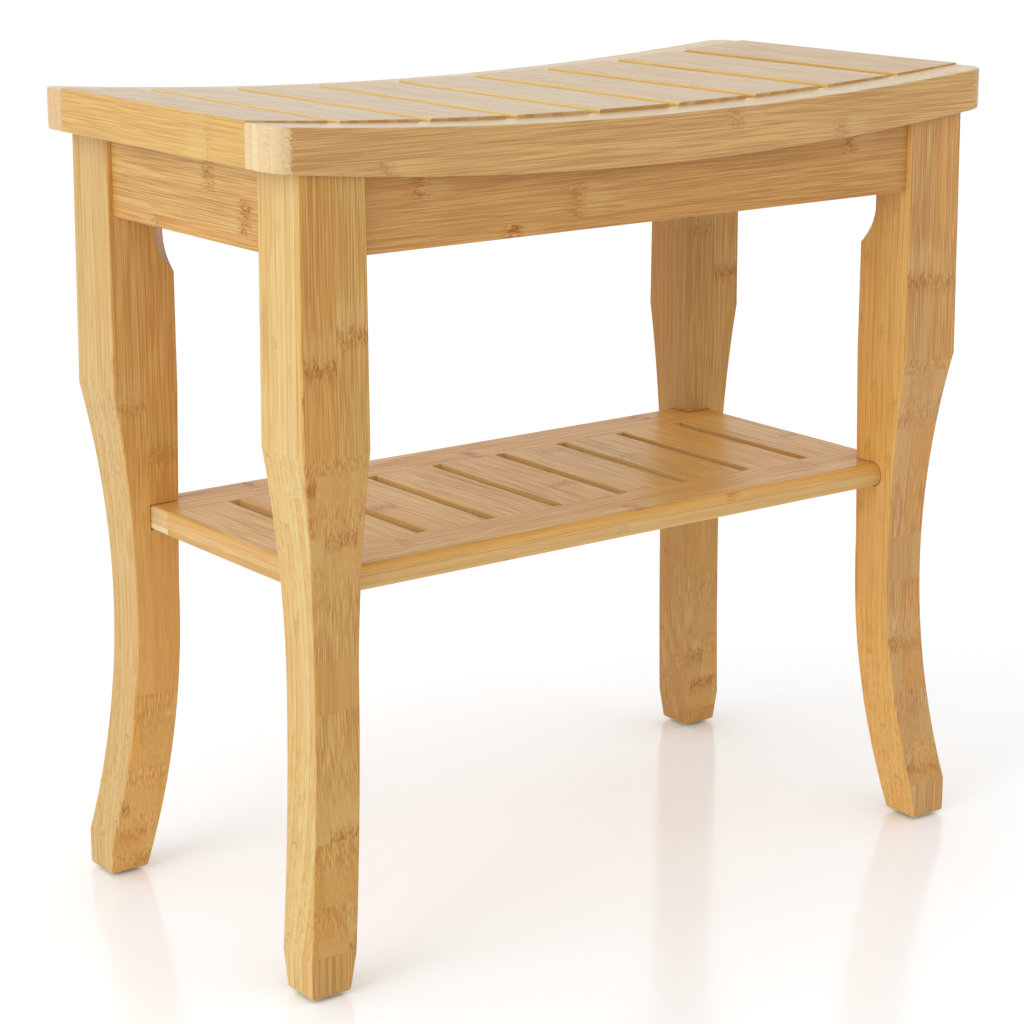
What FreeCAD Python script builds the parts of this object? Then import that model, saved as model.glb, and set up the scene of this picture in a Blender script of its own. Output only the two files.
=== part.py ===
"""Bamboo shower stool with a dished slatted seat and a slatted shelf.

Frame: +X along the length, +Y towards the rear, +Z up. The origin is on the floor under the middle.
Millimetres throughout.
"""
import FreeCAD, Part
import math
import os

V = FreeCAD.Vector
UP = V(0, 0, 1)

# ---- seat ---------------------------------------------------------------------------------------
SEAT_LENGTH = 500.0
SEAT_WIDTH = 245.0
SEAT_HEIGHT = 470.0           # highest line of the seat, at its two ends
CORNER_RADIUS = 12.5          # seat corners, seen from above
RAIL_WIDTH = 26.0
RAIL_END_DEPTH = 23.4         # rail height at its ends
RAIL_TOP_DIP = 10.9           # how far the middle of the rail's top lies below its ends
RAIL_BOTTOM_BOW = 14.4        # the same for its lower edge, so the rail is deepest in the middle
BOARD_COUNT = 9               # two end boards and seven slats
BOARD_GAP = 7.0
SLAT_THICKNESS = 15.0
SLAT_PROUD_END = 0.8          # slats stand above the rails by this at the ends
SLAT_PROUD_MIDDLE = 2.0       # and by this in the middle
EDGE_ROUND = 1.2              # eased outer edges of the rails, end boards and legs
BOARD_ROUND = 1.5             # rounded edges of the seat's boards along the gaps
ARRIS_ROUND = 0.6             # eased edges of aprons and shelf boards

# ---- legs ---------------------------------------------------------------------------------------
END_OVERHANG = 17.3           # seat past the legs, along X
SIDE_OVERHANG = 3.8           # seat past the legs, along Y
LEG_SECTION = 40.0
KNEE_HEIGHT = 298.5           # the outer faces are straight above it
KNEE_SWELL = 1.4              # the outer faces lean out by this, from the top down to the knee
WAIST_INSET = 12.4            # rise of the outer arc over its chord
WAIST_THICKNESS = 28.6
TOE_HEIGHT = 24.0             # the outer faces are vertical below it
TOE_OFFSET = 4.6              # toe outside the upper leg
INNER_BEND_HEIGHT = 178.0     # the inner faces turn from straight to curved here
FOOT_ROUND = 2.5
CHAMFER = 11.5                # stopped chamfer on the inner corner
CHAMFER_STOP = 386.0          # its full depth ends here
CHAMFER_CUTTER = 32.0         # radius of its run-out

# ---- aprons and corner blocks -------------------------------------------------------------------
APRON_BOTTOM = 399.0
APRON_THICKNESS = 16.0
LONG_APRON_RECESS = 4.0       # behind the legs' outer faces
SIDE_APRON_RECESS = 3.0
BLOCK_THICKNESS = 20.0
BLOCK_RAISE = 3.0             # above the aprons' lower edge
BLOCK_HEIGHT = 34.0

# ---- shelf --------------------------------------------------------------------------------------
SHELF_LENGTH = 424.0
SHELF_WIDTH = 202.0
SHELF_TOP = 230.0
SHELF_THICKNESS = 14.5
SHELF_RAIL_WIDTH = 40.0
SHELF_NOSE = 7.0              # rounding of the long outer edges
SHELF_END_ROUND = 2.0
NOTCH_PLAY = 0.3

# ---- fasteners and feet -------------------------------------------------------------------------
GLIDE_DIAMETER = 15.0
GLIDE_HEIGHT = 1.8
GLIDE_RIM = 0.6
NAIL_DIAMETER = 2.2
NAIL_LENGTH = 18.0
NAIL_HEAD_DIAMETER = 5.0
NAIL_HEAD_HEIGHT = 0.8
BOLT_DIAMETER = 6.0
BOLT_LENGTH = 45.0
BOLT_HEAD_DIAMETER = 10.0
BOLT_HEAD_HEIGHT = 6.0
BOLT_SOCKET = 5.0             # across the flats of the hexagon socket
BOLT_INSET = 9.0              # from the top and bottom of the block to its bolts
WASHER_DIAMETER = 14.0
WASHER_THICKNESS = 1.5
INSERT_DIAMETER = 10.0
INSERT_LENGTH = 22.0
DOWEL_DIAMETER = 6.0
DOWEL_LENGTH = 28.0
SHELF_DOWEL_DIAMETER = 5.0
SHELF_DOWEL_LENGTH = 24.0
CORNER_DOWEL_LENGTH = 24.0
CORNER_DOWEL_INSIDE = 15.0    # length inside the shelf
FRAME_DOWEL_DIAMETER = 8.0
FRAME_DOWEL_LENGTH = 24.0
LONG_DOWEL_PITCH = 100.0      # four along each long apron
SIDE_DOWEL_PITCH = 80.0       # two along each side apron
SCREW_DIAMETER = 4.0
SCREW_LENGTH = 26.0
SCREW_HEAD_DIAMETER = 8.0
SCREW_HEAD_HEIGHT = 3.0
SCREW_EAR = 17.0              # from the tip of the block's ear to its screws
SCREW_INSET = 8.0             # from the top and bottom of the block to its screws

# ---- worked out from the above ------------------------------------------------------------------
HALF_LENGTH = SEAT_LENGTH / 2
HALF_WIDTH = SEAT_WIDTH / 2
RAIL_END_TOP = SEAT_HEIGHT - SLAT_PROUD_END
RAIL_END_BOTTOM = RAIL_END_TOP - RAIL_END_DEPTH
RAIL_INNER_Y = HALF_WIDTH - RAIL_WIDTH
BOARD_WIDTH = (SEAT_LENGTH - (BOARD_COUNT - 1) * BOARD_GAP) / BOARD_COUNT
SLAT_DIP = RAIL_TOP_DIP + SLAT_PROUD_END - SLAT_PROUD_MIDDLE
LEG_X = HALF_LENGTH - END_OVERHANG
LEG_Y = HALF_WIDTH - SIDE_OVERHANG
INNER_X = LEG_X - LEG_SECTION
INNER_Y = LEG_Y - LEG_SECTION
LONG_APRON_FACE = LEG_Y - LONG_APRON_RECESS
SIDE_APRON_FACE = LEG_X - SIDE_APRON_RECESS
SHELF_BOTTOM = SHELF_TOP - SHELF_THICKNESS
BLOCK_BOTTOM = APRON_BOTTOM + BLOCK_RAISE
BOLT_HEIGHTS = (BLOCK_BOTTOM + BOLT_INSET, BLOCK_BOTTOM + BLOCK_HEIGHT - BOLT_INSET)
SCREW_HEIGHTS = (BLOCK_BOTTOM + SCREW_INSET, BLOCK_BOTTOM + BLOCK_HEIGHT - SCREW_INSET)
CORNERS = (("front_left", -1, -1), ("front_right", 1, -1), ("rear_left", -1, 1), ("rear_right", 1, 1))
TALL = 600.0                  # longer than anything it cuts
DIAGONAL = V(1, 1, 0).normalize()


# ---- helpers ------------------------------------------------------------------------------------
def box(x0, x1, y0, y1, z0, z1):
    return Part.makeBox(x1 - x0, y1 - y0, z1 - z0, V(x0, y0, z0))


def arc(start, middle, end):
    return Part.Arc(start, middle, end).toShape()


def line(start, end):
    return Part.LineSegment(start, end).toShape()


def solid(edges, direction):
    """The closed outline pushed along a direction."""
    return Part.Face(Part.Wire(edges)).extrude(direction)


def prism(points, z0, z1):
    """A polygon of (x, y) points between two heights."""
    corners = [V(x, y, z0) for x, y in points]
    return Part.Face(Part.makePolygon(corners + corners[:1])).extrude(UP * (z1 - z0))


def rod(diameter, length, start, direction):
    return Part.makeCylinder(diameter / 2, length, start, direction)


def mirrored(shape, sx, sy):
    """A copy of a piece of the +X +Y quarter in another quarter."""
    if sx < 0:
        shape = shape.mirror(V(0, 0, 0), V(1, 0, 0))
    if sy < 0:
        shape = shape.mirror(V(0, 0, 0), V(0, 1, 0))
    return shape


def eased(shape, radius, wanted):
    """Rounds the edges that wanted() picks."""
    edges = [edge for edge in shape.Edges if wanted(edge)]
    return shape.makeFillet(radius, edges)


def runs_along_x(edge):
    return edge.BoundBox.XLength > 10 * max(edge.BoundBox.YLength, edge.BoundBox.ZLength)


def runs_along_y(edge):
    return edge.BoundBox.YLength > 10 * max(edge.BoundBox.XLength, edge.BoundBox.ZLength)


def spots(edge):
    """Five points along an edge."""
    first, last = edge.ParameterRange
    return [edge.valueAt(first + (last - first) * step / 4) for step in range(5)]


def without(shape, tools):
    """The shape with the holes of its fasteners."""
    return shape.cut(tools) if tools else shape


def export(name, shapes):
    group = shapes if isinstance(shapes, list) else [shapes]
    solids = [piece for shape in group for piece in shape.Solids]
    result = solids[0] if len(solids) == 1 else Part.makeCompound(solids)
    if not all(piece.isValid() for piece in solids):
        raise ValueError(name + " has an invalid solid")
    result.exportStep("parts/" + name + ".step")


# ---- seat surfaces ------------------------------------------------------------------------------
def bow(end_height, dip):
    """A shallow arc over the seat's length, in the XZ plane."""
    return arc(V(-HALF_LENGTH, 0, end_height), V(0, 0, end_height - dip), V(HALF_LENGTH, 0, end_height))


def bow_height(x, end_height, dip):
    radius = (HALF_LENGTH ** 2 + dip ** 2) / (2 * dip)
    return end_height - dip + radius - math.sqrt(radius ** 2 - x ** 2)


def bow_tilt(x, dip):
    """Slope of the arc at x, as an angle in degrees."""
    radius = (HALF_LENGTH ** 2 + dip ** 2) / (2 * dip)
    return math.degrees(math.asin(x / radius))


def under_seat(y0, y1):
    """Everything below the rails' lower edge, between two depths."""
    edges = [
        bow(RAIL_END_BOTTOM, RAIL_BOTTOM_BOW),
        line(V(HALF_LENGTH, 0, RAIL_END_BOTTOM), V(HALF_LENGTH, 0, 0)),
        line(V(HALF_LENGTH, 0, 0), V(-HALF_LENGTH, 0, 0)),
        line(V(-HALF_LENGTH, 0, 0), V(-HALF_LENGTH, 0, RAIL_END_BOTTOM)),
    ]
    body = solid(edges, V(0, y1 - y0, 0))
    body.translate(V(0, y0, 0))
    return body


def seat_section(top_end, top_dip, y0, y1):
    """The seat between its lower bow and an upper one."""
    edges = [
        bow(top_end, top_dip),
        line(V(HALF_LENGTH, 0, top_end), V(HALF_LENGTH, 0, RAIL_END_BOTTOM)),
        bow(RAIL_END_BOTTOM, RAIL_BOTTOM_BOW),
        line(V(-HALF_LENGTH, 0, RAIL_END_BOTTOM), V(-HALF_LENGTH, 0, top_end)),
    ]
    body = solid(edges, V(0, y1 - y0, 0))
    body.translate(V(0, y0, 0))
    return body


def seat_plan():
    """The seat's outline from above, with its rounded corners."""
    body = box(-HALF_LENGTH, HALF_LENGTH, -HALF_WIDTH, HALF_WIDTH, 0, TALL)
    return eased(body, CORNER_RADIUS, lambda edge: abs(edge.tangentAt(0).z) > 0.9)


# ---- seat parts ---------------------------------------------------------------------------------
def seat_rail():
    """The front rail; the rear one is its mirror image."""
    rail = seat_section(RAIL_END_TOP, RAIL_TOP_DIP, -HALF_WIDTH, -RAIL_INNER_Y).common(seat_plan())
    outer = HALF_WIDTH - CORNER_RADIUS

    def outer_edge(edge):
        points = spots(edge)
        level = max(point.z for point in points) - min(point.z for point in points) < RAIL_BOTTOM_BOW + 1
        return level and all(point.y < 0.1 - outer for point in points)

    return eased(rail, EDGE_ROUND, outer_edge)


def board_center(index):
    return (index - (BOARD_COUNT - 1) / 2) * (BOARD_WIDTH + BOARD_GAP)


def seat_slat(index):
    """A flat slat, tilted to follow the dish of the seat."""
    x = board_center(index)
    half = BOARD_WIDTH / 2
    slat = box(-half, half, -RAIL_INNER_Y, RAIL_INNER_Y, -SLAT_THICKNESS, 0)
    slat = eased(slat, BOARD_ROUND, runs_along_y)
    slat.rotate(V(0, 0, 0), V(0, 1, 0), -bow_tilt(x, SLAT_DIP))
    slat.translate(V(x, 0, bow_height(x, SEAT_HEIGHT, SLAT_DIP)))
    return slat


def seat_end_board(side):
    """The board that closes an end of the seat, as deep as the rails."""
    x0, x1 = sorted((side * (HALF_LENGTH - BOARD_WIDTH), side * HALF_LENGTH))
    blank = seat_section(SEAT_HEIGHT, SLAT_DIP, -RAIL_INNER_Y, RAIL_INNER_Y)
    board = blank.common(box(x0, x1, -HALF_WIDTH, HALF_WIDTH, 0, TALL))
    end = HALF_LENGTH - 0.1

    def end_edge(edge):
        return runs_along_y(edge) and side * edge.BoundBox.Center.x > end

    def gap_edge(edge):
        return runs_along_y(edge) and side * edge.BoundBox.Center.x < end - EDGE_ROUND * 2

    return eased(eased(board, EDGE_ROUND, end_edge), BOARD_ROUND, gap_edge)


def seat_slat_dowels():
    """Two dowels in each end of every board, into the rails."""
    dowels = []
    depth = SLAT_THICKNESS / 2
    for index in range(BOARD_COUNT):
        x = board_center(index)
        tilt = math.radians(bow_tilt(x, SLAT_DIP))
        for offset in (-BOARD_WIDTH / 4, BOARD_WIDTH / 4):
            px = x + offset * math.cos(tilt) + depth * math.sin(tilt)
            pz = bow_height(x, SEAT_HEIGHT, SLAT_DIP) + offset * math.sin(tilt) - depth * math.cos(tilt)
            for side in (-1, 1):
                start = V(px, side * (RAIL_INNER_Y - DOWEL_LENGTH / 2), pz)
                dowels.append(rod(DOWEL_DIAMETER, DOWEL_LENGTH, start, V(0, side, 0)))
    return dowels


# ---- legs ---------------------------------------------------------------------------------------
def leg_profile(outer):
    """Outline of a leg, in the XZ plane, with the top of its outer face at x = outer."""
    floor = GLIDE_HEIGHT
    top = RAIL_END_BOTTOM
    inner = outer - LEG_SECTION
    toe = outer + TOE_OFFSET
    knee = V(outer + KNEE_SWELL, 0, KNEE_HEIGHT)
    ankle = V(toe, 0, TOE_HEIGHT)
    chord = ankle - knee
    across = V(chord.z, 0, -chord.x).normalize()
    waist = knee + chord * 0.5 + across * WAIST_INSET
    center = arc(knee, waist, ankle).Curve.Center
    radius = (waist - center).Length
    inner_radius = radius + WAIST_THICKNESS

    def inner_point(z):
        return V(center.x - math.sqrt(inner_radius ** 2 - (z - center.z) ** 2), 0, z)

    bend = inner_point(INNER_BEND_HEIGHT)
    heel = inner_point(floor + FOOT_ROUND)
    middle = inner_point((INNER_BEND_HEIGHT + floor) / 2)
    toe_sole = V(toe - FOOT_ROUND, 0, floor)
    heel_sole = V(heel.x + FOOT_ROUND, 0, floor)
    bulge = FOOT_ROUND * (1 - math.sqrt(0.5))
    return [
        line(V(inner, 0, top), V(outer, 0, top)),
        line(V(outer, 0, top), knee),
        arc(knee, waist, ankle),
        line(ankle, V(toe, 0, floor + FOOT_ROUND)),
        arc(V(toe, 0, floor + FOOT_ROUND), V(toe - bulge, 0, floor + bulge), toe_sole),
        line(toe_sole, heel_sole),
        arc(heel_sole, V(heel.x + bulge, 0, floor + bulge), heel),
        arc(heel, middle, bend),
        line(bend, V(inner, 0, KNEE_HEIGHT)),
        line(V(inner, 0, KNEE_HEIGHT), V(inner, 0, top)),
    ]


def chamfer_cutter():
    """The corner that a straight cutter takes off, with its round run-out, for the +X +Y leg."""
    depth = CHAMFER / math.sqrt(2)
    corner = V(INNER_X, INNER_Y, 0)
    reach = LEG_SECTION
    run = math.sqrt(CHAMFER_CUTTER ** 2 - (CHAMFER_CUTTER - depth) ** 2)
    drop = math.sqrt(CHAMFER_CUTTER ** 2 - (CHAMFER_CUTTER - depth / 2) ** 2)

    def at(inward, z):
        return corner + DIAGONAL * inward + UP * z

    edges = [
        line(at(-reach, TALL), at(depth, TALL)),
        line(at(depth, TALL), at(depth, CHAMFER_STOP)),
        arc(at(depth, CHAMFER_STOP), at(depth / 2, CHAMFER_STOP - drop), at(0, CHAMFER_STOP - run)),
        line(at(0, CHAMFER_STOP - run), at(-reach, CHAMFER_STOP - run)),
        line(at(-reach, CHAMFER_STOP - run), at(-reach, TALL)),
    ]
    aside = V(-1, 1, 0).normalize()
    body = solid(edges, aside * (2 * reach))
    body.translate(aside * -reach)
    return body


def shelf_blank(play=0.0):
    """The whole shelf as one slab, with its rounded outer edges."""
    length = SHELF_LENGTH / 2 + play
    width = SHELF_WIDTH / 2 + play
    slab = box(-length, length, -width, width, SHELF_BOTTOM - play, SHELF_TOP + play)
    slab = eased(slab, SHELF_NOSE, lambda edge: edge.BoundBox.XLength > 1)
    if play:
        return slab
    return eased(slab, SHELF_END_ROUND, is_shelf_end_edge)


def is_shelf_end_edge(edge):
    """The straight edges at the two ends of the shelf."""
    return edge.BoundBox.YLength > SHELF_WIDTH / 2 and edge.BoundBox.XLength < 1


def leg_body():
    """The +X +Y leg, before its fastener holes."""
    along_x = leg_profile(LEG_X)
    along_y = [edge.rotated(V(0, 0, 0), UP, 90) for edge in leg_profile(LEG_Y)]
    body = solid(along_x, V(0, TALL, 0)).common(solid(along_y, V(TALL, 0, 0)))

    def outer_edge(edge):
        first, _, middle, _, last = spots(edge)
        upright = abs(first.z - last.z) > FOOT_ROUND / 2
        return upright and max(middle.x - LEG_X, middle.y - LEG_Y) > -WAIST_INSET

    body = eased(body, EDGE_ROUND, outer_edge)
    body = body.cut(chamfer_cutter())
    body = body.cut(shelf_blank(NOTCH_PLAY))
    return body.common(under_seat(0, TALL))


# ---- aprons and corner blocks -------------------------------------------------------------------
def is_lower_edge(edge):
    return edge.BoundBox.ZMax < APRON_BOTTOM + 1


def long_apron(side):
    y0, y1 = sorted((side * (LONG_APRON_FACE - APRON_THICKNESS), side * LONG_APRON_FACE))
    board = box(-INNER_X, INNER_X, y0, y1, APRON_BOTTOM, RAIL_END_BOTTOM)
    board = eased(board, ARRIS_ROUND, lambda edge: runs_along_x(edge) and is_lower_edge(edge))
    return board.common(under_seat(y0, y1))


def side_apron(side):
    x0, x1 = sorted((side * (SIDE_APRON_FACE - APRON_THICKNESS), side * SIDE_APRON_FACE))
    board = box(x0, x1, -INNER_Y, INNER_Y, APRON_BOTTOM, RAIL_END_BOTTOM)
    board = eased(board, ARRIS_ROUND, lambda edge: runs_along_y(edge) and is_lower_edge(edge))
    return board.common(under_seat(-INNER_Y, INNER_Y))


def corner_block():
    """The +X +Y block, glued and screwed across the inner corner of two aprons."""
    inside_x = SIDE_APRON_FACE - APRON_THICKNESS
    inside_y = LONG_APRON_FACE - APRON_THICKNESS
    outer = INNER_X + INNER_Y + CHAMFER
    inner = outer - BLOCK_THICKNESS * math.sqrt(2)
    points = [
        (outer - inside_y, inside_y),
        (inside_x, outer - inside_x),
        (inside_x, inner - inside_x),
        (inner - inside_y, inside_y),
    ]
    return prism(points, BLOCK_BOTTOM, BLOCK_BOTTOM + BLOCK_HEIGHT)


def block_face(inward, z):
    """A point on the block's middle line, measured inward from the leg's chamfer."""
    corner = V(INNER_X + CHAMFER / 2, INNER_Y + CHAMFER / 2, z)
    return corner - DIAGONAL * inward


def leg_bolts():
    """Two socket-head bolts for the +X +Y leg."""
    bolts = []
    for z in BOLT_HEIGHTS:
        under_head = block_face(BLOCK_THICKNESS + WASHER_THICKNESS, z)
        head_end = under_head - DIAGONAL * BOLT_HEAD_HEIGHT
        shank = rod(BOLT_DIAMETER, BOLT_LENGTH, under_head, DIAGONAL)
        head = rod(BOLT_HEAD_DIAMETER, BOLT_HEAD_HEIGHT, head_end, DIAGONAL)
        socket = hexagon(BOLT_SOCKET, BOLT_HEAD_HEIGHT / 2, head_end, DIAGONAL)
        bolts.append(shank.fuse(head).removeSplitter().cut(socket))
    return bolts


def hexagon(flats, length, start, direction):
    """A six-sided prism, as wide across its flats as given."""
    radius = flats / math.sqrt(3)
    side = direction.cross(UP).normalize()
    points = []
    for step in range(7):
        angle = math.radians(60 * step)
        points.append(start + side * (radius * math.cos(angle)) + UP * (radius * math.sin(angle)))
    return Part.Face(Part.makePolygon(points)).extrude(direction * length)


def leg_washers():
    washers = []
    for z in BOLT_HEIGHTS:
        start = block_face(BLOCK_THICKNESS + WASHER_THICKNESS, z)
        disc = rod(WASHER_DIAMETER, WASHER_THICKNESS, start, DIAGONAL)
        washers.append(disc.cut(rod(BOLT_DIAMETER, WASHER_THICKNESS, start, DIAGONAL)))
    return washers


def leg_inserts():
    """The threaded sleeves that the bolts screw into."""
    inserts = []
    for z in BOLT_HEIGHTS:
        start = block_face(0, z)
        sleeve = rod(INSERT_DIAMETER, INSERT_LENGTH, start, DIAGONAL)
        inserts.append(sleeve.cut(rod(BOLT_DIAMETER, INSERT_LENGTH, start, DIAGONAL)))
    return inserts


def wood_screw(point, direction):
    """A screw whose head's top is centred on the point."""
    shank_start = point + direction * SCREW_HEAD_HEIGHT
    head = Part.makeCone(SCREW_HEAD_DIAMETER / 2, SCREW_DIAMETER / 2, SCREW_HEAD_HEIGHT, point, direction)
    shank = rod(SCREW_DIAMETER, SCREW_LENGTH - SCREW_HEAD_HEIGHT, shank_start, direction)
    return head.fuse(shank)


def screw_places():
    """Head and direction of the two screws in each ear of the +X +Y block."""
    inner = INNER_X + INNER_Y + CHAMFER - BLOCK_THICKNESS * math.sqrt(2)
    x = inner - (LONG_APRON_FACE - APRON_THICKNESS) + SCREW_EAR
    y = inner - (SIDE_APRON_FACE - APRON_THICKNESS) + SCREW_EAR
    sunk = SCREW_HEAD_DIAMETER / 2
    places = []
    for z in SCREW_HEIGHTS:
        places.append((V(x, inner - x + sunk, z), V(0, 1, 0)))
        places.append((V(inner - y + sunk, y, z), V(1, 0, 0)))
    return places


def block_screws():
    return [wood_screw(point, direction) for point, direction in screw_places()]


def screw_counterbores():
    """The holes that let the screw heads into the slanted face of the block."""
    return [
        rod(SCREW_HEAD_DIAMETER, BLOCK_THICKNESS, point - direction * BLOCK_THICKNESS, direction)
        for point, direction in screw_places()
    ]


def frame_dowels():
    """Upright dowels between the aprons and the seat."""
    dowels = []
    long_y = LONG_APRON_FACE - APRON_THICKNESS / 2
    side_x = SIDE_APRON_FACE - APRON_THICKNESS / 2
    places = [(step * LONG_DOWEL_PITCH, side * long_y) for side in (-1, 1) for step in (-1.5, -0.5, 0.5, 1.5)]
    places += [(side * side_x, step * SIDE_DOWEL_PITCH) for side in (-1, 1) for step in (-0.5, 0.5)]
    for x, y in places:
        middle = bow_height(x, RAIL_END_BOTTOM, RAIL_BOTTOM_BOW)
        start = V(x, y, middle - FRAME_DOWEL_LENGTH / 2)
        dowels.append(rod(FRAME_DOWEL_DIAMETER, FRAME_DOWEL_LENGTH, start, UP))
    return dowels


# ---- shelf --------------------------------------------------------------------------------------
SHELF_INNER_Y = SHELF_WIDTH / 2 - SHELF_RAIL_WIDTH
SHELF_BOARD_WIDTH = (SHELF_LENGTH - (BOARD_COUNT - 1) * BOARD_GAP) / BOARD_COUNT


def shelf_rail(side):
    y0, y1 = sorted((side * SHELF_INNER_Y, side * SHELF_WIDTH / 2))
    return shelf_blank().common(box(-SHELF_LENGTH, SHELF_LENGTH, y0, y1, 0, TALL))


def shelf_board_center(index):
    return (index - (BOARD_COUNT - 1) / 2) * (SHELF_BOARD_WIDTH + BOARD_GAP)


def shelf_board(index):
    x = shelf_board_center(index)
    half = SHELF_BOARD_WIDTH / 2
    board = shelf_blank().common(box(x - half, x + half, -SHELF_INNER_Y, SHELF_INNER_Y, 0, TALL))
    end = SHELF_LENGTH / 2 - SHELF_END_ROUND - 0.1
    return eased(board, ARRIS_ROUND, lambda edge: runs_along_y(edge) and abs(edge.BoundBox.Center.x) < end)


def shelf_slat_dowels():
    dowels = []
    z = SHELF_BOTTOM + SHELF_THICKNESS / 2
    near_end = SHELF_INNER_Y - SHELF_DOWEL_LENGTH / 2
    for index in range(BOARD_COUNT):
        for offset in (-SHELF_BOARD_WIDTH / 4, SHELF_BOARD_WIDTH / 4):
            for side in (-1, 1):
                start = V(shelf_board_center(index) + offset, side * near_end, z)
                dowels.append(rod(SHELF_DOWEL_DIAMETER, SHELF_DOWEL_LENGTH, start, V(0, side, 0)))
    return dowels


def corner_dowel():
    """The diagonal dowel from the +X +Y corner of the shelf into the leg."""
    z = SHELF_BOTTOM + SHELF_THICKNESS / 2
    corner = V(SHELF_LENGTH / 2, SHELF_WIDTH / 2, z)
    return rod(DOWEL_DIAMETER, CORNER_DOWEL_LENGTH, corner - DIAGONAL * CORNER_DOWEL_INSIDE, DIAGONAL)


# ---- feet ---------------------------------------------------------------------------------------
def foot_center():
    """Middle of the +X +Y foot, from its sole."""
    heel = [vertex.Point.x for edge in leg_profile(0) for vertex in edge.Vertexes
            if abs(vertex.Point.z - GLIDE_HEIGHT) < 0.01]
    middle = (min(heel) + max(heel)) / 2
    return LEG_X + middle, LEG_Y + middle


def foot_glide():
    x, y = foot_center()
    disc = rod(GLIDE_DIAMETER, GLIDE_HEIGHT, V(x, y, 0), UP)
    disc = eased(disc, GLIDE_RIM, lambda edge: edge.BoundBox.ZMax < 0.1)
    return disc.cut(glide_nail())


def glide_nail():
    """The nail's head sits in the glide, clear of the floor."""
    x, y = foot_center()
    head = rod(NAIL_HEAD_DIAMETER, NAIL_HEAD_HEIGHT, V(x, y, NAIL_HEAD_HEIGHT), UP)
    shank = rod(NAIL_DIAMETER, NAIL_LENGTH, V(x, y, NAIL_HEAD_HEIGHT), UP)
    return head.fuse(shank).removeSplitter()


# ---- the whole stool ----------------------------------------------------------------------------
def all_quarters(pieces):
    return [mirrored(piece, sx, sy) for _, sx, sy in CORNERS for piece in pieces]


def main():
    os.makedirs("parts", exist_ok=True)

    slat_dowels = seat_slat_dowels()
    upright_dowels = frame_dowels()
    shelf_dowels = shelf_slat_dowels()
    corner_dowels = all_quarters([corner_dowel()])
    seat_holes = slat_dowels + upright_dowels
    shelf_holes = shelf_dowels + corner_dowels

    rail = without(seat_rail(), seat_holes)
    export("front_seat_rail", rail)
    export("rear_seat_rail", mirrored(rail, 1, -1))
    export("seat_end_board_left", without(seat_end_board(-1), seat_holes))
    export("seat_end_board_right", without(seat_end_board(1), seat_holes))
    for index in range(1, BOARD_COUNT - 1):
        export("seat_slat_%d" % index, without(seat_slat(index), slat_dowels))
    export("seat_slat_dowels", slat_dowels)
    export("seat_frame_dowels", upright_dowels)

    screws = block_screws()
    apron_holes = upright_dowels + all_quarters(screws)
    export("front_apron", without(long_apron(-1), apron_holes))
    export("rear_apron", without(long_apron(1), apron_holes))
    export("left_apron", without(side_apron(-1), apron_holes))
    export("right_apron", without(side_apron(1), apron_holes))

    bolts = leg_bolts()
    shanks = [rod(BOLT_DIAMETER, TALL, block_face(TALL / 2, z), DIAGONAL) for z in BOLT_HEIGHTS]
    seats = [rod(INSERT_DIAMETER, INSERT_LENGTH, block_face(0, z), DIAGONAL) for z in BOLT_HEIGHTS]
    leg = without(leg_body(), bolts + seats + [corner_dowel(), glide_nail()])
    block = without(corner_block(), shanks + screws + screw_counterbores())
    glide = foot_glide()
    for name, sx, sy in CORNERS:
        export("leg_" + name, mirrored(leg, sx, sy))
        export("corner_block_" + name, mirrored(block, sx, sy))
        export("foot_glide_" + name, mirrored(glide, sx, sy))
    export("leg_bolts", all_quarters(bolts))
    export("leg_bolt_washers", all_quarters(leg_washers()))
    export("leg_inserts", all_quarters(leg_inserts()))
    export("corner_block_screws", all_quarters(screws))
    export("foot_glide_nails", all_quarters([glide_nail()]))

    export("shelf_front_rail", without(shelf_rail(-1), shelf_holes))
    export("shelf_rear_rail", without(shelf_rail(1), shelf_holes))
    export("shelf_end_board_left", without(shelf_board(0), shelf_dowels))
    export("shelf_end_board_right", without(shelf_board(BOARD_COUNT - 1), shelf_dowels))
    for index in range(1, BOARD_COUNT - 1):
        export("shelf_slat_%d" % index, without(shelf_board(index), shelf_dowels))
    export("shelf_slat_dowels", shelf_dowels)
    export("shelf_corner_dowels", corner_dowels)


main()
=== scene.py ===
"""Looks of a bamboo shower stool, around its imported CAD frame.

Metres, +X along the length, +Y towards the rear, +Z up. Wood patterns are worked out in millimetres.
"""

import math

import bpy
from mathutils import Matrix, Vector


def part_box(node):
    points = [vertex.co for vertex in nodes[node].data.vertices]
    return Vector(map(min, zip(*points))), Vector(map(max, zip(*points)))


MM = 0.001
X, Y, Z = Vector((1, 0, 0)), Vector((0, 1, 0)), Vector((0, 0, 1))
CORNERS = ("front_left", "front_right", "rear_left", "rear_right")
SLATS = 7                       # in the seat, and in the shelf

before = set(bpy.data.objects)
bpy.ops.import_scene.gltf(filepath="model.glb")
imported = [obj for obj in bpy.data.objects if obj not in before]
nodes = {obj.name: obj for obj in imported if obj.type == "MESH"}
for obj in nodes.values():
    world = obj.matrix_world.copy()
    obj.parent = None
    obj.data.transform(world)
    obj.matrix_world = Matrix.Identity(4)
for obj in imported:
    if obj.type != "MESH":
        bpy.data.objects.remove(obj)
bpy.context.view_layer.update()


# ---- node helpers -------------------------------------------------------------------------------
def srgb(red, green, blue):
    """A colour given in display values from 0 to 255."""
    def linear(value):
        value /= 255
        return value / 12.92 if value <= 0.04045 else ((value + 0.055) / 1.055) ** 2.4

    return (linear(red), linear(green), linear(blue), 1.0)


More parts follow.
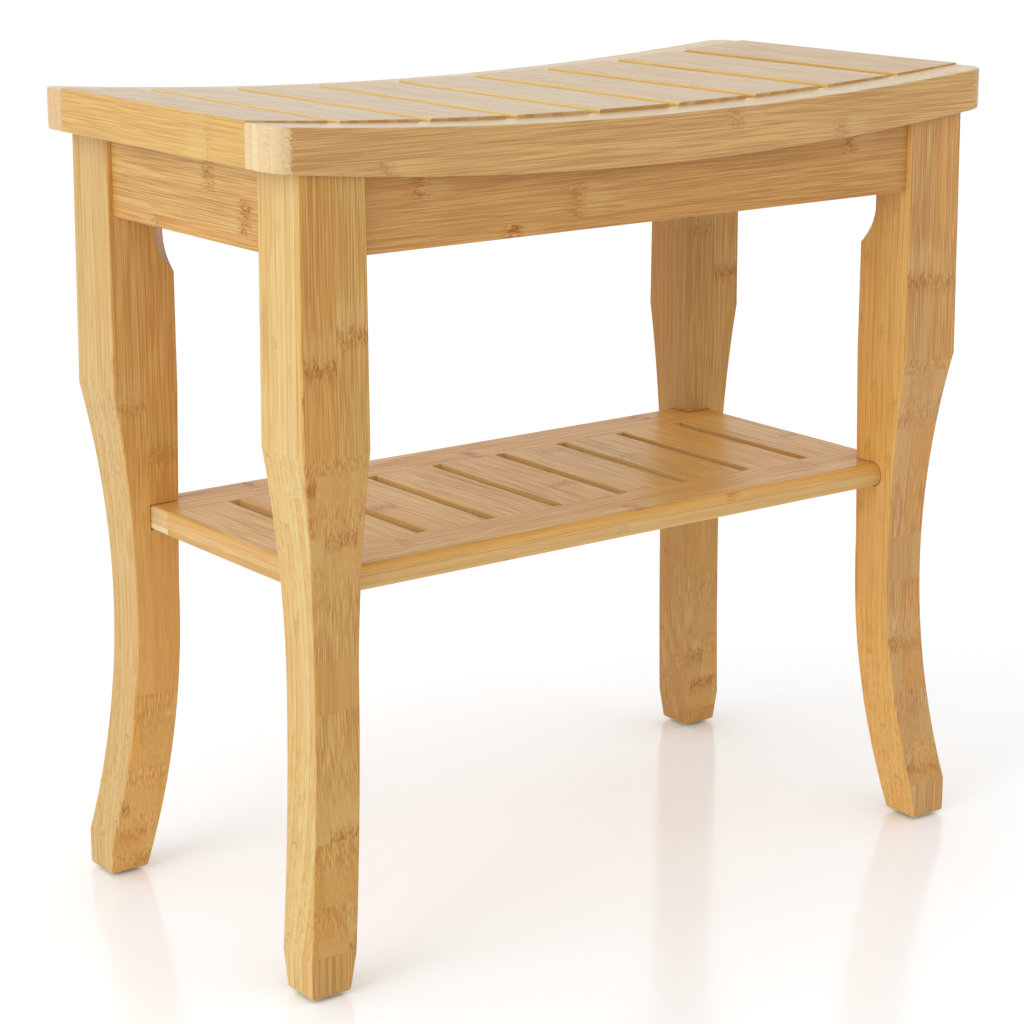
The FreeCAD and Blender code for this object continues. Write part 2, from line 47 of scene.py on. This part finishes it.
class Net:
    """Adds nodes to one node tree. Nearly every method takes numbers or sockets and returns a socket."""

    def __init__(self, tree):
        self.tree = tree

    def node(self, kind, **settings):
        made = self.tree.nodes.new(kind)
        for name, value in settings.items():
            setattr(made, name, value)
        return made

    def plug(self, value, socket):
        if isinstance(value, bpy.types.NodeSocket):
            self.tree.links.new(value, socket)
        else:
            socket.default_value = value

    def fill(self, made, values):
        """Plugs values, given by name, into the inputs of a node."""
        for name, value in values.items():
            self.plug(value, made.inputs[name])

    def math(self, operation, *values, clamp=False):
        made = self.node("ShaderNodeMath", operation=operation, use_clamp=clamp)
        for value, socket in zip(values, made.inputs):
            self.plug(value, socket)
        return made.outputs[0]

    def sub(self, a, b):
        return self.math("SUBTRACT", a, b)

    def mul(self, a, b):
        return self.math("MULTIPLY", a, b)

    def madd(self, a, b, c):
        """a times b, plus c."""
        return self.math("MULTIPLY_ADD", a, b, c)

    def vector_math(self, operation, a, b):
        made = self.node("ShaderNodeVectorMath", operation=operation)
        self.plug(a, made.inputs[0])
        self.plug(b, made.inputs[1])
        return made.outputs

    def dot(self, a, b):
        return self.vector_math("DOT_PRODUCT", a, b)["Value"]

    def offset(self, a, b):
        return self.vector_math("ADD", a, b)["Vector"]

    def scaled(self, vector, factors):
        return self.vector_math("MULTIPLY", vector, factors)["Vector"]

    def vector(self, x, y, z):
        made = self.node("ShaderNodeCombineXYZ")
        self.fill(made, {"X": x, "Y": y, "Z": z})
        return made.outputs[0]

    def split(self, vector):
        made = self.node("ShaderNodeSeparateXYZ")
        self.plug(vector, made.inputs[0])
        return made.outputs[:]

    def noise(self, vector, detail, roughness):
        made = self.node("ShaderNodeTexNoise", noise_dimensions="3D")
        self.fill(made, {"Vector": vector, "Scale": 1.0, "Detail": detail, "Roughness": roughness})
        return made.outputs["Fac"]

    def grains(self, place, density, detail, roughness):
        """Noise with about density spots to the millimetre."""
        return self.noise(self.scaled(place, (density,) * 3), detail, roughness)

    def streaks(self, place, along, aside, detail=1.0, roughness=0.5, shift=None):
        """Noise drawn out along the grain; along and aside are spots to the millimetre."""
        vector = self.scaled(place, (along, aside, aside))
        if shift is not None:
            vector = self.offset(vector, shift)
        return self.noise(vector, detail, roughness)

    def random(self, vector):
        made = self.node("ShaderNodeTexWhiteNoise", noise_dimensions="3D")
        self.plug(vector, made.inputs["Vector"])
        return made.outputs["Color"]

    def step(self, value, low, high, to_low=0.0, to_high=1.0):
        """A smooth step from to_low to to_high as value goes from low to high."""
        made = self.node("ShaderNodeMapRange", interpolation_type="SMOOTHSTEP")
        self.fill(made, {"Value": value, "From Min": low, "From Max": high,
                         "To Min": to_low, "To Max": to_high})
        return made.outputs["Result"]

    def fade(self, value, low, high):
        """A smooth step from one down to nothing as value goes from low to high."""
        return self.step(value, low, high, 1.0, 0.0)

    def mix(self, share, a, b, blend="MIX"):
        made = self.node("ShaderNodeMix", data_type="RGBA", blend_type=blend)
        self.plug(share, made.inputs["Factor"])
        self.plug(a, made.inputs[6])
        self.plug(b, made.inputs[7])
        return made.outputs[2]

    def tinted(self, color, tint):
        return self.mix(1.0, color, tint, "MULTIPLY")

    def bump(self, height, strength, depth, normal=None):
        made = self.node("ShaderNodeBump")
        self.fill(made, {"Height": height, "Strength": strength, "Distance": depth})
        if normal is not None:
            self.plug(normal, made.inputs["Normal"])
        return made.outputs["Normal"]


def new_material(name):
    """(material, its Net, the place on the stool in millimetres)"""
    material = bpy.data.materials.new(name)
    material.use_nodes = True
    material.node_tree.nodes.clear()
    net = Net(material.node_tree)
    place = net.scaled(net.node("ShaderNodeTexCoord").outputs["Object"], (1 / MM,) * 3)
    return material, net, place


def shade(net, **inputs):
    """Ends a material with a Principled shader. Inputs are named with _ for the blanks."""
    shader = net.node("ShaderNodeBsdfPrincipled")
    net.fill(shader, {name.replace("_", " "): value for name, value in inputs.items()})
    net.plug(shader.outputs[0], net.node("ShaderNodeOutputMaterial").inputs["Surface"])


# ---- laminated bamboo ---------------------------------------------------------------------------
# A flat face runs along the layers, an edge face cuts across them, and an end is sawn off.
FLAT_LIGHT, FLAT_DARK = srgb(209, 168, 99), srgb(173, 125, 63)
EDGE_LIGHT, EDGE_DARK = srgb(216, 192, 132), srgb(192, 152, 84)
END_LIGHT, END_DARK = srgb(222, 202, 158), srgb(190, 142, 76)
CREAM = srgb(224, 190, 114)
FIBRE_BROWN = srgb(162, 98, 30)
NODE_BROWN = srgb(152, 86, 20)
GLUE_BROWN = srgb(150, 94, 38)
PLAIN = (1.0, 1.0, 1.0, 1.0)
WARM = srgb(255, 244, 226)

STAGGER = 0.37                  # shift of the strips from one layer to the next, in strips
DENSE_SIDE = (0.2, 0.62)        # where a layer goes from dense to soft, in layers
SOFT_DENSITY = 0.35             # of the fibres on the soft side; one on the dense side
GLUE_LINE = (0.05, 0.25)        # where a glue line fades out, from the joint
NODE_RING = (0.3, 1.6)          # the edge of a growth node's line, from its middle
NODE_BAND = (0.5, 9.0)          # the same for the specks around that line
HALO_START = (0.0, 3.0)         # the pale wood on one side of a growth node
HALO_END = (14.0, 26.0)
NODE_SWAY = 16.0                # reach of a growth node's wandering along its strip
FIBRE_SWAY = 3.0                # the same for fibres, sideways
STRIP_SHIFTS = (97.0, 89.0, 83.0)       # reach of the shift that gives each strip its own pattern

# Patterns, in spots to the millimetre along the grain and aside, and the values between which they
# come in.
FINE, FINE_STEP = dict(along=0.016, aside=1.6, roughness=0.6), (0.34, 0.66)
MEDIUM = dict(along=0.007, aside=0.5, detail=2.0, roughness=0.6)
BROAD = dict(along=0.006, aside=0.1)
DASHES, DASH_STEP = dict(along=0.03, aside=1.15), (0.58, 0.68)
STROKES = dict(along=0.22, aside=0.95, detail=2.0, roughness=0.6)
SPECK_STEP, FLECK_STEP = (0.46, 0.60), (0.3, 0.44)
END_DOTS, END_DOT_STEP = dict(along=0.05, aside=1.3), (0.45, 0.65)
SWAY = dict(along=0.02, aside=0.6, detail=2.0, roughness=0.6)
DRIFT = dict(along=0.008, aside=0.04)
SWIRL = dict(along=0.3, aside=0.3, detail=2.0)

FLAT_BLEND = 0.35               # width of the change from edge to flat over a rounded corner
END_BLEND = 0.05                # the same for an end
END_RAGGED = 0.5                # how ragged the outline of an end is
HIGHLIGHT_TURN = (0.86, 0.995)       # cosine between a sharp edge's softened normal and its own, over which a painted highlight lightens the edge
HIGHLIGHT_SHARE = 0.5
EDGE_RADIUS = 0.7 * MM
GRAIN_DEPTH = 0.12 * MM

BAMBOO_INPUTS = {
    "NodeSocketVector": ("Position",),
    "NodeSocketFloat": ("Flat", "End", "Layer Start", "Layer", "Strip Start", "Strip", "Node First",
                        "Node Step", "Node Bend", "Node Layer", "Period", "Seed", "Node Strength",
                        "Contrast", "Tone", "End Dark"),
    "NodeSocketColor": ("Flat Tint", "Edge Tint"),
}
BAMBOO_OUTPUTS = {"Color": "NodeSocketColor", "Roughness": "NodeSocketFloat", "Height": "NodeSocketFloat"}


class LaminatedBamboo:
    """A node group: strips of bamboo glued side by side in layers.

    Its Position is (along the grain, across the layers, across the strips) in millimetres.
    """

    def __init__(self):
        self.tree = bpy.data.node_groups.new("laminated_bamboo", "ShaderNodeTree")
        for kind, names in BAMBOO_INPUTS.items():
            for name in names:
                self.tree.interface.new_socket(name, in_out="INPUT", socket_type=kind)
        for name, kind in BAMBOO_OUTPUTS.items():
            self.tree.interface.new_socket(name, in_out="OUTPUT", socket_type=kind)
        self.net = Net(self.tree)
        self.given = self.net.node("NodeGroupInput").outputs
        self.along, self.across, self.aside = self.net.split(self.given["Position"])
        self.lay_strips()
        self.grow_nodes()
        self.draw_fibres()
        color = self.net.mix(self.given["End"], self.face_color(), self.end_color())
        self.net.fill(self.net.node("NodeGroupOutput"),
                      {"Color": color, "Roughness": self.roughness(), "Height": self.height()})

    def lay_strips(self):
        """Which strip of which layer a point is in, its place in the layer, and the glue lines."""
        net, given = self.net, self.given
        layers = net.math("DIVIDE", net.sub(self.across, given["Layer Start"]), given["Layer"])
        self.layer = net.math("FLOOR", layers)
        strips = net.math("DIVIDE", net.sub(self.aside, given["Strip Start"]), given["Strip"])
        strips = net.madd(self.layer, STAGGER, strips)
        self.strip = net.math("FLOOR", strips)
        chances = net.random(net.vector(self.layer, self.strip, given["Seed"]))
        self.chance_a, self.chance_b, self.chance_c = net.split(chances)
        self.shift = net.scaled(chances, STRIP_SHIFTS)
        self.dense = net.step(net.math("FRACT", layers), *DENSE_SIDE, 1.0, SOFT_DENSITY)

        to_layer = net.mul(net.math("PINGPONG", layers, 0.5), net.math("ABSOLUTE", given["Layer"]))
        to_strip = net.mul(net.math("PINGPONG", strips, 0.5), given["Strip"])
        layer_glue = net.mul(net.fade(to_layer, *GLUE_LINE), net.madd(given["Flat"], -0.9, 1.0))
        strip_glue = net.mul(net.fade(to_strip, *GLUE_LINE), net.madd(self.chance_a, 0.7, 0.3))
        self.glue = net.math("MAXIMUM", layer_glue, strip_glue)

    def grow_nodes(self):
        """The growth nodes: one in each strip, repeated along it."""
        net, given = self.net, self.given
        first = net.madd(self.strip, given["Node Step"], given["Node First"])
        first = net.madd(net.mul(self.strip, self.strip), given["Node Bend"], first)
        first = net.madd(self.layer, given["Node Layer"], first)
        turns = net.math("DIVIDE", net.sub(self.along, first), given["Period"])
        distance = net.mul(net.sub(turns, net.math("ROUND", turns)), given["Period"])
        sway = net.streaks(given["Position"], **SWAY, shift=self.shift)
        distance = net.madd(net.sub(sway, 0.5), NODE_SWAY, distance)
        reach = net.math("ABSOLUTE", distance)
        self.ring = net.mul(net.fade(reach, *NODE_RING), net.step(self.chance_b, 0.4, 0.9, 0.1, 0.6))
        self.band = net.fade(reach, *NODE_BAND)
        self.halo = net.mul(net.step(distance, *HALO_START), net.fade(distance, *HALO_END))
        strength = net.mul(net.madd(given["Flat"], 0.65, 0.35), net.step(self.chance_c, 0.2, 0.9, 0.3, 0.7))
        self.strength = net.mul(strength, given["Node Strength"])

    def draw_fibres(self):
        """Fibres of several sizes. They wander a little along the strip and swirl at the nodes."""
        net, place = self.net, self.given["Position"]
        drift = net.streaks(place, **DRIFT, shift=self.shift)
        swirl = net.streaks(place, **SWIRL, shift=self.shift)
        swirl = net.mul(net.mul(net.sub(swirl, 0.5), self.band), FIBRE_SWAY)
        bent = net.madd(net.sub(drift, 0.5), FIBRE_SWAY, swirl)
        fibres = net.offset(net.offset(place, net.vector(0.0, bent, bent)), self.shift)
        self.fine = net.step(net.streaks(fibres, **FINE), *FINE_STEP)
        self.medium = net.streaks(fibres, **MEDIUM)
        self.broad = net.streaks(fibres, **BROAD)
        self.dashes = net.mul(net.step(net.streaks(fibres, **DASHES), *DASH_STEP), self.dense)
        strokes = net.streaks(fibres, **STROKES)
        self.specks = net.mul(net.mul(self.band, net.step(strokes, *SPECK_STEP)), self.strength)
        self.flecks = net.mul(self.band, net.fade(strokes, *FLECK_STEP))

    def face_color(self):
        net, given = self.net, self.given
        tone = net.mul(net.mul(net.sub(self.fine, 0.5), self.dense), 1.3)
        for pattern, share in ((self.medium, 0.5), (self.broad, 0.5), (self.chance_a, 0.35)):
            tone = net.madd(net.sub(pattern, 0.5), share, tone)
        tone = net.madd(tone, given["Contrast"], net.madd(self.dense, -0.12, 0.55))
        tone = net.math("ADD", tone, given["Tone"], clamp=True)
        flat = net.tinted(net.mix(tone, FLAT_DARK, FLAT_LIGHT), given["Flat Tint"])
        edge = net.tinted(net.mix(tone, EDGE_DARK, EDGE_LIGHT), given["Edge Tint"])
        color = net.mix(given["Flat"], edge, flat)
        color = net.tinted(color, net.mix(net.step(self.chance_b, 0.3, 1.0), PLAIN, WARM))

        dashes = net.mul(net.mul(self.dashes, given["Contrast"]), net.madd(self.chance_c, 0.3, 0.25))
        for share, paint in (
            (dashes, FIBRE_BROWN),
            (net.mul(self.halo, 0.12), EDGE_LIGHT),
            (net.mul(net.mul(self.band, self.strength), 0.3), FIBRE_BROWN),
            (net.mul(self.flecks, net.mul(self.strength, 0.5)), CREAM),
            (net.math("MAXIMUM", self.specks, net.mul(self.ring, self.strength)), NODE_BROWN),
            (net.mul(self.glue, 0.4), GLUE_BROWN),
        ):
            color = net.mix(share, color, paint)
        return color

    def end_color(self):
        """Sawn ends show the fibres as dots, closest on the dense side of each layer."""
        net, given = self.net, self.given
        dots = net.step(net.streaks(given["Position"], **END_DOTS), *END_DOT_STEP)
        layer_chance = net.split(net.random(net.vector(self.layer, 0.0, given["Seed"])))[0]
        dark_layer = net.mul(net.step(layer_chance, 0.3, 0.6), 0.45)
        dark = net.madd(net.mul(dots, self.dense), 0.35, dark_layer)
        dark = net.math("ADD", dark, given["End Dark"], clamp=True)
        return net.mix(net.mul(self.glue, 0.25), net.mix(dark, END_LIGHT, END_DARK), GLUE_BROWN)

    def roughness(self):
        net = self.net
        return net.madd(self.specks, 0.1, net.madd(net.sub(0.5, self.fine), 0.25, 0.40))

    def height(self):
        """Dashes, glue lines and specks lie a little below the fine fibres."""
        height = self.fine
        for pattern, depth in ((self.dashes, -0.5), (self.glue, -0.8), (self.specks, -0.6)):
            height = self.net.madd(pattern, depth, height)
        return height


BAMBOO = LaminatedBamboo().tree


def node_row(node_at):
    """(first, step, bend), where strip number n has a node at first + n step + n squared bend."""
    step = node_at[1] - node_at[0]
    bend = (node_at[2] - node_at[0] - 2 * step) / 2 if len(node_at) > 2 else 0.0
    return node_at[0], step - bend, bend


def bamboo(name, grain, across, aside, layer, strip, node_at=(0.0, 60.0), period=290.0,
           node_layer=83.0, seed=0, tone=0.0, contrast=0.55, node_strength=1.0,
           flat_tint=PLAIN, edge_tint=PLAIN, flat_from=0.45, end_from=0.6, far_end_late=0.0,
           end_dark=0.0, gloss=0.1):
    """A lacquered piece. layer and strip are (start, size) along across and aside. node_at gives the
    nodes of the first strips of the first layer, and those of each further layer lie node_layer
    further on. All in millimetres. A face is flat where it turns towards across by more than
    flat_from. End grain shows where it turns towards the grain by more than end_from, and
    far_end_late more at the far end."""
    material, net, place = new_material(name)
    normal = net.node("ShaderNodeNewGeometry").outputs["Normal"]
    facing_flat = net.math("ABSOLUTE", net.dot(normal, across))
    turned = net.dot(normal, grain)
    turned = net.math("MAXIMUM", net.mul(turned, -1.0), net.sub(turned, far_end_late))
    serration = net.grains(place, 0.9, 1.0, 0.5)
    facing_end = net.madd(net.sub(serration, 0.5), END_RAGGED, turned)
    node_first, node_step, node_bend = node_row(node_at)
    wood = net.node("ShaderNodeGroup", node_tree=BAMBOO)
    net.fill(wood, {
        "Position": net.vector(*(net.dot(place, axis) for axis in (grain, across, aside))),
        "Flat": net.step(facing_flat, flat_from, flat_from + FLAT_BLEND),
        "End": net.step(facing_end, end_from, end_from + END_BLEND),
        "Layer Start": layer[0], "Layer": layer[1], "Strip Start": strip[0], "Strip": strip[1],
        "Node First": node_first, "Node Step": node_step, "Node Bend": node_bend,
        "Node Layer": node_layer, "Period": period, "Node Strength": node_strength, "Seed": seed,
        "Contrast": contrast, "Tone": tone, "End Dark": end_dark,
        "Flat Tint": flat_tint, "Edge Tint": edge_tint,
    })

    soft = net.node("ShaderNodeBevel", samples=4)
    soft.inputs["Radius"].default_value = EDGE_RADIUS
    soft = soft.outputs["Normal"]
    # Painted highlight: sharp edges are lightened towards the pale edge colour.
    edge_highlight = net.step(net.dot(soft, normal), *HIGHLIGHT_TURN, HIGHLIGHT_SHARE, 0.0)
    shade(net, Base_Color=net.mix(edge_highlight, wood.outputs["Color"], EDGE_LIGHT),
          Roughness=wood.outputs["Roughness"],
          Normal=net.bump(wood.outputs["Height"], 0.35, GRAIN_DEPTH, soft),
          Specular_IOR_Level=0.2 + gloss / 2, Coat_Weight=gloss, Coat_Roughness=0.25)
    return material


# ---- wooden pieces ------------------------------------------------------------------------------
# Each kind of piece counts its seeds up from its own first one.
SEEDS = {"seat rail": 1, "seat board": 11, "long apron": 21, "side apron": 25, "leg": 31,
         "shelf rail": 41, "shelf board": 51, "corner block": 61, "dowel": 71}
SKIN = 0.5                      # a board's outermost layer starts this far outside its face

# A bluish grey tint on the seat rails' tops: painted sheen.
RAIL_SHEEN_TINT = srgb(236, 236, 242)
RAIL_FACE_TINT = (1.0, 0.965, 0.84, 1.0)
RAIL_END_DARK = {"front_seat_rail": -0.08, "rear_seat_rail": 0.2}
# Bluish grey tints on the seat tops at the left and right end boards: painted sheen.
LEFT_SLAT_SHEEN_TINT, RIGHT_SLAT_SHEEN_TINT = srgb(221, 213, 224), srgb(217, 205, 200)
# Brighter, more golden sides of the seat slats, seen in the gaps: painted bounce light.
GAP_LIGHT_TINT = (1.07, 1.17, 0.94, 1.0)
END_BOARD_TINT = (0.97, 1.05, 0.94, 1.0)
# A redder, darker tint on the long aprons' faces: painted shade under the seat's overhang.
APRON_SHADE_TINT = (1.0, 0.94, 1.0, 1.0)
SHELF_TINT = (1.18, 1.15, 1.0, 1.0)
# A darker, more orange tint on the side faces of the shelf's rails and boards: painted shade warmed by
# bounced light.
SHELF_EDGE_SHADE_TINT = (0.94, 0.81, 0.74, 1.0)

SEAT_RAIL_STRIP = (427.0, 20.0)         # start and width of the strips
SEAT_BOARD_STRIP = (430.0, 45.0)
APRON_STRIP = (387.0, 19.0)
SHELF_STRIP_WIDTH = 20.0        # the strips of a shelf rail or a leg start at its own side
LEG_STRIP_WIDTH = 20.0
KNEE = 4.6                      # a leg's knee stands this far out of its upper part

# Start and size of a leg's layers, from front to back. A negative size turns their dense sides round.
FRONT_LEG_LAYER = (-118.5, -4.55)
REAR_LEG_LAYER = (78.0, 4.55)
LEG_LOOKS = {
    "front_left": dict(layer=FRONT_LEG_LAYER, node_at=(344.0, 359.0), period=166.0, node_layer=46.0),
    # front_right's golden edge tint is painted bounce light.
    "front_right": dict(layer=FRONT_LEG_LAYER, node_at=(345.0, 343.0), period=154.5, node_layer=38.0,
                        flat_tint=(1.01, 0.985, 1.17, 1.0), edge_tint=(1.14, 0.94, 0.68, 1.0)),
    # rear_left: painted light on its flat faces, painted shade on its edge faces.
    "rear_left": dict(layer=REAR_LEG_LAYER, node_at=(26.0, 260.0), period=262.0, node_layer=9.3,
                      flat_tint=(1.24, 1.22, 1.22, 1.0), edge_tint=(0.9, 0.86, 0.84, 1.0)),
    # rear_right's dark edge tint is painted shade, as cast by the shelf.
    "rear_right": dict(layer=REAR_LEG_LAYER, node_at=(65.0, 34.0), period=288.0, node_layer=10.0,
                       edge_tint=(0.74, 0.55, 0.38, 1.0)),
}


def dress(node, material):
    slots = nodes[node].data.materials
    slots.clear()
    slots.append(material)


def millimetres(node):
    """(lowest, highest) corner of a CAD node in millimetres."""
    low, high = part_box(node)
    return low / MM, high / MM


def layers(low, high, count):
    """(start, size) of the layers of a board that lies between low and high."""
    return low - SKIN, (high - low) / count


def boards(part):
    """The boards of the seat or of the shelf, from left to right."""
    slats = [part + "_slat_%d" % number for number in range(1, SLATS + 1)]
    return [part + "_end_board_left", *slats, part + "_end_board_right"]


def slat_sheen_tint(index):
    """The tint of a seat board's top, a bluish grey that paints the greyish sheen of the lacquer. It goes
    evenly from the left end board's to the right one's.
    """
    return [left + (right - left) * index / (SLATS + 1)
            for left, right in zip(LEFT_SLAT_SHEEN_TINT, RIGHT_SLAT_SHEEN_TINT)]


def dress_seat_rails():
    for seed, node in enumerate(("front_seat_rail", "rear_seat_rail"), SEEDS["seat rail"]):
        low, high = millimetres(node)
        dress(node, bamboo(node, X, Y, Z, layers(low.y, high.y, count=4), SEAT_RAIL_STRIP,
                           node_at=(-182.0, 52.0), period=314.0, seed=seed, node_strength=1.5,
                           flat_tint=RAIL_FACE_TINT, edge_tint=RAIL_SHEEN_TINT, end_from=0.14,
                           far_end_late=0.5, end_dark=RAIL_END_DARK[node], gloss=0.6))


def dress_seat_boards():
    # The slats' sides in the gaps get painted bounce light through the gap tint.
    slat = dict(tone=0.45, contrast=0.3, flat_tint=GAP_LIGHT_TINT)
    end_board = dict(tone=0.3, contrast=0.42, flat_tint=END_BOARD_TINT)
    for index, node in enumerate(boards("seat")):
        low, high = millimetres(node)
        first_node = -60.0 + 97.0 * index
        looks = slat if "slat" in node else end_board
        dress(node, bamboo(node, Y, X, Z, layers(low.x, high.x, count=8), SEAT_BOARD_STRIP,
                           node_at=(first_node, first_node + 30.0), period=280.0,
                           seed=SEEDS["seat board"] + index, node_strength=0.3,
                           edge_tint=slat_sheen_tint(index), flat_from=0.15, end_dark=0.6, gloss=0.3, **looks))


def dress_aprons():
    # The long aprons' lower tone and redder tint are painted shade, as under the seat's overhang.
    for seed, node in enumerate(("front_apron", "rear_apron"), SEEDS["long apron"]):
        low, high = millimetres(node)
        dress(node, bamboo(node, X, Y, Z, layers(low.y, high.y, count=3), APRON_STRIP,
                           node_at=(-97.0, -54.0, -158.0), period=304.0, seed=seed, tone=-0.14,
                           contrast=0.48, node_strength=1.4, flat_tint=APRON_SHADE_TINT))
    for seed, node in enumerate(("left_apron", "right_apron"), SEEDS["side apron"]):
        low, high = millimetres(node)
        dress(node, bamboo(node, Y, X, Z, layers(low.x, high.x, count=3), APRON_STRIP,
                           node_at=(30.0, -61.0, -26.0), seed=seed, tone=0.1, node_strength=1.5))


def dress_legs():
    for seed, corner in enumerate(CORNERS, SEEDS["leg"]):
        node = "leg_" + corner
        low, high = millimetres(node)
        left = low.x + KNEE if "left" in corner else high.x - 2 * LEG_STRIP_WIDTH - KNEE
        dress(node, bamboo(node, Z, Y, X, strip=(left, LEG_STRIP_WIDTH), seed=seed,
                           **LEG_LOOKS[corner]))


def dress_shelf():
    # The shelf's side faces get painted warm shade through the edge tint.
    looks = dict(tone=0.2, contrast=0.5, flat_tint=SHELF_TINT, edge_tint=SHELF_EDGE_SHADE_TINT)
    for seed, node in enumerate(("shelf_front_rail", "shelf_rear_rail"), SEEDS["shelf rail"]):
        low, high = millimetres(node)
        dress(node, bamboo(node, X, Z, Y, layers(low.z, high.z, count=3), (low.y, SHELF_STRIP_WIDTH),
                           node_at=(-90.0, 60.0), period=300.0, seed=seed, **looks))
    for index, node in enumerate(boards("shelf")):
        low, high = millimetres(node)
        first_node = 35.0 + 71.0 * index
        strip = (low.x, (high.x - low.x) / 2)
        dress(node, bamboo(node, Y, Z, X, layers(low.z, high.z, count=3), strip,
                           node_at=(first_node, first_node + 110.0), period=270.0,
                           seed=SEEDS["shelf board"] + index, **looks))


def dress_blocks():
    """A block's grain runs level across its corner."""
    for seed, corner in enumerate(CORNERS, SEEDS["corner block"]):
        node = "corner_block_" + corner
        side = 1 if ("left" in corner) == ("front" in corner) else -1
        inward = Vector((1, side, 0)).normalized()
        along = Vector((side, -1, 0)).normalized()
        dress(node, bamboo(node, along, inward, Z, layer=(0.0, 6.7), strip=(0.0, 17.0), seed=seed,
                           tone=0.1))


def dress_dowels():
    """Dowels are thin, so their layers and strips are wide and leave them nearly plain."""
    diagonal = Vector((1, 1, 0)).normalized()
    grains = {"seat_slat_dowels": (Y, X), "shelf_slat_dowels": (Y, X), "seat_frame_dowels": (Z, X),
              "shelf_corner_dowels": (diagonal, Z)}
    for seed, (node, (along, across)) in enumerate(grains.items(), SEEDS["dowel"]):
        dress(node, bamboo(node, along, across, along.cross(across), layer=(0.0, 40.0),
                           strip=(0.0, 60.0), seed=seed, tone=0.4))


# ---- metal and plastic --------------------------------------------------------------------------
GRIT_DEPTH = 0.05 * MM


def plain(name, light, dark, metallic, roughness, grit_density):
    """Metal or plastic with small colour, gloss and surface variation."""
    material, net, place = new_material(name)
    cloud = net.grains(place, 0.35, 3.0, 0.6)
    grit = net.grains(place, grit_density, 2.0, 0.6)
    shade(net, Base_Color=net.mix(net.step(cloud, 0.3, 0.7), dark, light), Metallic=metallic,
          Roughness=net.madd(net.sub(grit, 0.5), 0.3, roughness),
          Normal=net.bump(grit, 0.3, GRIT_DEPTH))
    return material


def dress_hardware():
    steel = plain("zinc_plated_steel", srgb(214, 214, 216), srgb(176, 178, 184), metallic=1.0,
                  roughness=0.32, grit_density=6.0)
    brass = plain("brass", srgb(214, 178, 104), srgb(176, 138, 70), metallic=1.0, roughness=0.34,
                  grit_density=6.0)
    plastic = plain("glide_plastic", srgb(164, 168, 174), srgb(128, 132, 138), metallic=0.0,
                    roughness=0.5, grit_density=3.0)
    for node in ("leg_bolts", "leg_bolt_washers", "corner_block_screws", "foot_glide_nails"):
        dress(node, steel)
    dress("leg_inserts", brass)
    for corner in CORNERS:
        dress("foot_glide_" + corner, plastic)


# ---- stage --------------------------------------------------------------------------------------
CAMERA_PLACE = Vector((-0.95326, -1.25687, 0.62679))
CAMERA_HEADING = math.radians(36.83)
CAMERA_TILT = math.radians(14.82)
CAMERA_LENS = 95.56
CAMERA_SENSOR = 36.0
CAMERA_REACH = 100.0
FLOOR_REACH = 30.0
FLOOR_COLOR = (0.97, 0.985, 1.0, 1.0)
FLOOR_ROUGHNESS = 0.14
SKY_STRENGTH = 1.03
LAMP_PLACE = Vector((-3.6, -0.4, 1.7))
LAMP_TARGET = Vector((0, 0, 0.25))
LAMP_SIZE = 3.0
LAMP_POWER = 56.0


def aim(obj, direction):
    obj.rotation_mode = "QUATERNION"
    obj.rotation_quaternion = direction.to_track_quat("-Z", "Y")


def add_camera():
    data = bpy.data.cameras.new("camera")
    data.lens = CAMERA_LENS
    data.sensor_width = CAMERA_SENSOR
    data.clip_end = CAMERA_REACH
    camera = bpy.data.objects.new("camera", data)
    bpy.context.scene.collection.objects.link(camera)
    camera.location = CAMERA_PLACE
    level = math.cos(CAMERA_TILT)
    aim(camera, Vector((math.sin(CAMERA_HEADING) * level, math.cos(CAMERA_HEADING) * level,
                        -math.sin(CAMERA_TILT))))
    bpy.context.scene.camera = camera


def add_floor():
    mesh = bpy.data.meshes.new("floor")
    reach = FLOOR_REACH
    corners = [(-reach, -reach, 0), (reach, -reach, 0), (reach, reach, 0), (-reach, reach, 0)]
    mesh.from_pydata(corners, [], [(0, 1, 2, 3)])
    floor = bpy.data.objects.new("floor", mesh)
    bpy.context.scene.collection.objects.link(floor)
    material = bpy.data.materials.new("floor")
    material.use_nodes = True
    shader = material.node_tree.nodes["Principled BSDF"]
    shader.inputs["Base Color"].default_value = FLOOR_COLOR
    shader.inputs["Roughness"].default_value = FLOOR_ROUGHNESS
    mesh.materials.append(material)


def add_lamp():
    """A large soft lamp on the left, which sets the left faces off from the front ones."""
    data = bpy.data.lights.new("key", "AREA")
    data.shape = "DISK"
    data.size = LAMP_SIZE
    data.energy = LAMP_POWER
    lamp = bpy.data.objects.new("key", data)
    bpy.context.scene.collection.objects.link(lamp)
    lamp.location = LAMP_PLACE
    aim(lamp, LAMP_TARGET - LAMP_PLACE)


def add_sky():
    world = bpy.data.worlds.new("studio")
    world.use_nodes = True
    background = world.node_tree.nodes["Background"]
    background.inputs["Color"].default_value = PLAIN
    background.inputs["Strength"].default_value = SKY_STRENGTH
    bpy.context.scene.world = world
    bpy.context.scene.view_settings.view_transform = "Standard"


dress_seat_rails()
dress_seat_boards()
dress_aprons()
dress_legs()
dress_shelf()
dress_blocks()
dress_dowels()
dress_hardware()
add_camera()
add_floor()
add_lamp()
add_sky()
